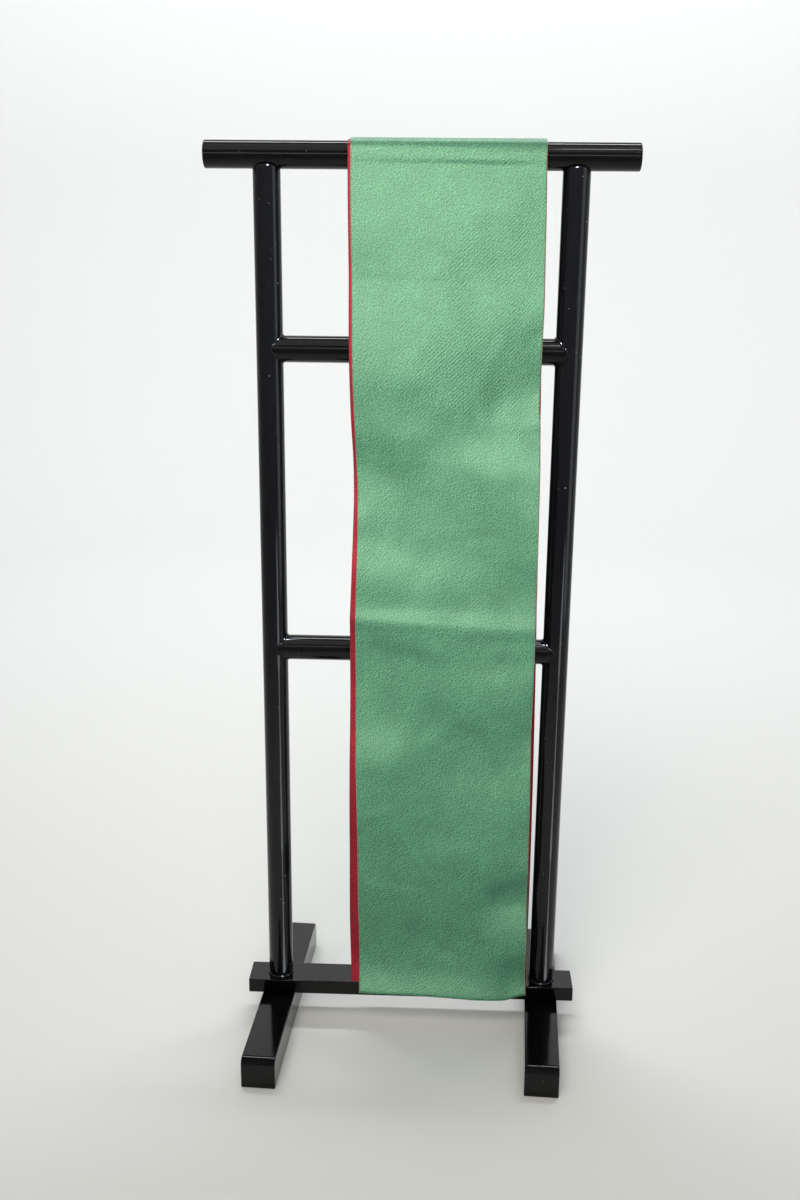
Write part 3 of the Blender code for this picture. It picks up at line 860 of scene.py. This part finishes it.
def cloth_material(name, shade, light, fleck_and_glint, edge, gloss):
    """Fine twill: slanting ribs, grainy thread, lighter specks of thread that also serve as painted glints,
    slow changes of depth and a painted highlight along each edge.
    """
    nodes = Nodes(name)
    place = nodes.add("ShaderNodeAttribute", attribute_name="weave")
    turned = nodes.add("ShaderNodeMapping")
    turned.inputs["Rotation"].default_value = (0, 0, TWILL_SLANT)
    nodes.join(place.outputs["Vector"], turned.inputs["Vector"])
    ribs = nodes.add(
        "ShaderNodeTexWave", wave_type="BANDS", bands_direction="X", **{
            "Scale": 2 * pi / (WAVE_TEXTURE_RATE * TWILL_PITCH),
            "Distortion": 1.5, "Detail": 2.0, "Detail Scale": 3.0,
        }
    )
    nodes.join(turned.outputs[0], ribs.inputs["Vector"])
    stretched = nodes.add("ShaderNodeMapping")
    stretched.inputs["Scale"].default_value = THREAD_STRETCH
    nodes.join(turned.outputs[0], stretched.inputs["Vector"])
    fleck_and_glint_noise = nodes.add("ShaderNodeTexNoise", **{"Scale": FLECK_AND_GLINT_SCALE, "Detail": 1.0, "Roughness": 0.5})
    nodes.join(stretched.outputs[0], fleck_and_glint_noise.inputs["Vector"])
    grain = nodes.add("ShaderNodeTexNoise", **{"Scale": GRAIN_SCALE, "Detail": 1.0, "Roughness": 0.5})
    nodes.join(stretched.outputs[0], grain.inputs["Vector"])
    cloud = nodes.add("ShaderNodeTexNoise", **{"Scale": CLOUD_SCALE, "Detail": 4.0, "Roughness": 0.7})
    nodes.join(place.outputs["Vector"], cloud.inputs["Vector"])

    rib_part = nodes.math("MULTIPLY", ribs.outputs["Fac"], RIB_SHARE)
    grain_part = nodes.math("MULTIPLY", grain.outputs["Fac"], 1 - RIB_SHARE)
    thread = nodes.math("ADD", rib_part, grain_part)
    tone = nodes.add("ShaderNodeMapRange", **{"From Min": 0.32, "From Max": 0.68})
    nodes.join(thread, tone.inputs["Value"])
    colour = nodes.mix(tone.outputs[0], shade, light)
    # Lighter specks: partly the thread's own colour, partly painted glints of the satin
    spots = nodes.add("ShaderNodeMapRange", **{"From Min": 0.45, "From Max": 0.58, "To Max": 0.86})
    nodes.join(fleck_and_glint_noise.outputs["Fac"], spots.inputs["Value"])
    colour = nodes.mix(spots.outputs[0], colour, fleck_and_glint)
    depth = nodes.add(
        "ShaderNodeMapRange", **{"From Min": 0.3, "From Max": 0.7, "To Min": 0.8, "To Max": 1.2}
    )
    nodes.join(cloud.outputs["Fac"], depth.inputs["Value"])
    grey = nodes.add("ShaderNodeCombineColor")
    for socket in grey.inputs[:3]:
        nodes.join(depth.outputs[0], socket)
    colour = nodes.mix(1.0, colour, grey.outputs[0], "MULTIPLY")
    # Painted highlight: the edge colour is laid along each edge of the ply, where its rolled edge catches
    # the light
    across = nodes.add("ShaderNodeSeparateXYZ")
    nodes.join(place.outputs["Vector"], across.inputs[0])
    from_middle = nodes.math("ABSOLUTE", nodes.math("SUBTRACT", across.outputs[0], OBI_WIDTH / 2), 0.0)
    in_edge_highlight = nodes.math("GREATER_THAN", from_middle, OBI_WIDTH / 2 - EDGE_HIGHLIGHT_WIDTH)
    colour = nodes.mix(in_edge_highlight, colour, edge)
    nodes.join(colour, nodes.shader.inputs["Base Color"])

    bump = nodes.add("ShaderNodeBump", **{"Strength": 1.0, "Distance": 0.0002})
    nodes.join(thread, bump.inputs["Height"])
    nodes.join(bump.outputs[0], nodes.shader.inputs["Normal"])
    rough = nodes.add("ShaderNodeMapRange", **{"To Min": 0.32, "To Max": 0.46})
    nodes.join(grain.outputs["Fac"], rough.inputs["Value"])
    nodes.join(rough.outputs[0], nodes.shader.inputs["Roughness"])
    nodes.set(Sheen_Weight=0.1, Sheen_Roughness=0.4)
    nodes.set(IOR=1.65, Specular_IOR_Level=1.0, Specular_Tint=(*gloss, 1.0))
    return nodes.material


def lacquer_material():
    """Polished black lacquer with a faint unevenness and a few specks of dust."""
    nodes = Nodes("black_lacquer")
    place = nodes.add("ShaderNodeNewGeometry")
    slow = nodes.add("ShaderNodeTexNoise", **{"Scale": 45.0, "Detail": 2.0})
    nodes.join(place.outputs["Position"], slow.inputs["Vector"])
    specks = nodes.add("ShaderNodeTexNoise", **{"Scale": 480.0, "Detail": 1.0})
    nodes.join(place.outputs["Position"], specks.inputs["Vector"])
    dust = nodes.add("ShaderNodeMapRange", **{"From Min": 0.77, "From Max": 0.82})
    nodes.join(specks.outputs["Fac"], dust.inputs["Value"])
    colour = nodes.mix(dust.outputs[0], (0.0035, 0.0035, 0.004), (0.25, 0.24, 0.23))
    nodes.join(colour, nodes.shader.inputs["Base Color"])
    bump = nodes.add("ShaderNodeBump", **{"Strength": 0.12, "Distance": 0.0004})
    nodes.join(slow.outputs["Fac"], bump.inputs["Height"])
    nodes.join(bump.outputs[0], nodes.shader.inputs["Normal"])
    rough = nodes.add("ShaderNodeMapRange", **{"To Min": 0.06, "To Max": 0.14})
    nodes.join(slow.outputs["Fac"], rough.inputs["Value"])
    nodes.join(rough.outputs[0], nodes.shader.inputs["Roughness"])
    nodes.set(IOR=1.4, Specular_IOR_Level=0.4)
    return nodes.material


# Stage, lights and camera

def studio_material():
    nodes = Nodes("pale_studio")
    nodes.set(Base_Color=(0.72, 0.72, 0.71, 1.0), Roughness=0.9, Specular_IOR_Level=0.1)
    return nodes.material


def make_studio():
    """A round pale floor that curves up into a wall on every side."""
    outline = [(0.0, 0.0), (FLOOR_RADIUS, 0.0)]
    for step in range(1, BEND_STEPS + 1):
        angle = pi / 2 * step / BEND_STEPS
        outline.append((FLOOR_RADIUS + WALL_BEND * sin(angle), WALL_BEND * (1 - cos(angle))))
    outline.append((FLOOR_RADIUS + WALL_BEND, WALL_HEIGHT))
    mesh = spun_mesh("studio", outline, STUDIO_SIDES)
    studio = new_object("studio", mesh, studio_material())


def add_light(name, place, aim, size, power, colour, spread=WIDE, only=()):
    """An area light that the camera doesn't see, and that lights only some pieces if told to."""
    light = bpy.data.lights.new(name, "AREA")
    light.shape = "RECTANGLE"
    light.size, light.size_y = size
    light.energy = power
    light.color = colour
    light.spread = radians(spread)
    lamp = bpy.data.objects.new(name, light)
    bpy.context.scene.collection.objects.link(lamp)
    lamp.location = place
    lamp.rotation_euler = (Vector(aim) - Vector(place)).to_track_quat("-Z", "Y").to_euler()
    lamp.visible_camera = False
    if only:
        lit = bpy.data.collections.new(f"{name}_lights")
        for piece in only:
            lit.objects.link(piece)
        lamp.light_linking.receiver_collection = lit
    return lamp


def light_groups(lacquered):
    """The pieces that each group of lights reaches, where an empty list stands for all."""
    meshes = [thing for thing in bpy.context.scene.objects if thing.type == "MESH"]
    return {
        "all": [],
        "soft": [thing for thing in meshes if thing not in lacquered],
        "cloth": [thing for thing in meshes if thing.name.startswith("sash")],
        "rods": [thing for thing in lacquered if thing.name.startswith(("rail", "bar"))],
        "posts": [thing for thing in lacquered if thing.name.startswith(("post", "bead"))],
        "beads": [thing for thing in lacquered if thing.name.startswith("bead")],
    }


def place_lamps(lamps, groups):
    for lamp in lamps:
        add_light(
            lamp.name, lamp.place, lamp.aim, lamp.size, lamp.power, lamp.colour, lamp.spread,
            only=groups[lamp.reaches],
        )


def make_streaks(post):
    """The strips of light on the floor that one post reflects."""
    way = Vector((sin(STREAK_TURN), -cos(STREAK_TURN), 0.0))
    foot = Vector((post.location.x, post.location.y, STREAK_HEIGHT))
    for number, strip in enumerate(STREAK_STRIPS):
        middle = foot + way * (strip.near + strip.far) / 2
        lamp = add_light(
            f"{post.name}_streak_{number}", middle, middle, (strip.width, strip.far - strip.near),
            strip.power, COOL, only=[post],
        )
        lamp.rotation_euler = (pi, 0.0, STREAK_TURN)


def make_lights(lacquered):
    """Soft light on the cloth from the front, and narrow lights that streak the lacquer."""
    world = bpy.data.worlds.new("soft_room")
    bpy.context.scene.world = world
    world.use_nodes = True
    background = world.node_tree.nodes["Background"]
    background.inputs["Color"].default_value = (*WORLD_COLOUR, 1.0)
    background.inputs["Strength"].default_value = WORLD_STRENGTH
    groups = light_groups(lacquered)
    place_lamps(LAMPS, groups)
    for post in lacquered:
        if post.name.startswith("post"):
            make_streaks(post)
    place_lamps(ROD_LAMPS, groups)


def make_camera():
    forward = Vector((
        sin(CAMERA_YAW) * cos(CAMERA_PITCH), cos(CAMERA_YAW) * cos(CAMERA_PITCH), -sin(CAMERA_PITCH)
    ))
    level = Vector((cos(CAMERA_YAW), -sin(CAMERA_YAW), 0.0))
    upward = level.cross(forward)
    right = level * cos(CAMERA_ROLL) + upward * sin(CAMERA_ROLL)
    up = upward * cos(CAMERA_ROLL) - level * sin(CAMERA_ROLL)
    data = bpy.data.cameras.new("camera")
    data.sensor_fit = "AUTO"
    data.sensor_width = SENSOR_MM
    data.lens = FOCAL_LENGTH_PX / PHOTO_LONG_SIDE_PX * SENSOR_MM
    camera = bpy.data.objects.new("camera", data)
    bpy.context.scene.collection.objects.link(camera)
    turn = Matrix((right, up, -forward)).transposed().to_4x4()
    camera.matrix_world = Matrix.Translation(CAMERA_PLACE) @ turn
    bpy.context.scene.camera = camera
    bpy.context.scene.view_settings.view_transform = "Standard"


make_camera()
make_studio()
lacquer = lacquer_material()
make_rods(lacquer)
make_base(lacquer)
make_beads(lacquer)
make_sash(
    cloth_material(
        "green_face",
        shade=(0.0, 0.016, 0.007),
        light=(0.001, 0.095, 0.050),
        # fleck: the lighter specks' colour, partly painted glints
        fleck_and_glint=(0.12, 0.33, 0.20),
        # edge: the colour of the painted highlight along the face's edges
        edge=(0.38, 0.28, 0.19),
        gloss=(0.52, 0.94, 0.66),
    ),
    cloth_material(
        "red_reverse",
        shade=(0.05, 0.0, 0.001),
        light=(0.15, 0.001, 0.004),
        # fleck: the lighter specks' colour, partly painted glints
        fleck_and_glint=(0.27, 0.02, 0.03),
        edge=(0.14, 0.02, 0.03),
        # edge: the colour of the painted highlight along the reverse's edges
        gloss=(1.0, 0.10, 0.17),
    ),
)
make_lights([thing for thing in bpy.context.scene.objects if lacquer.name in thing.material_slots])
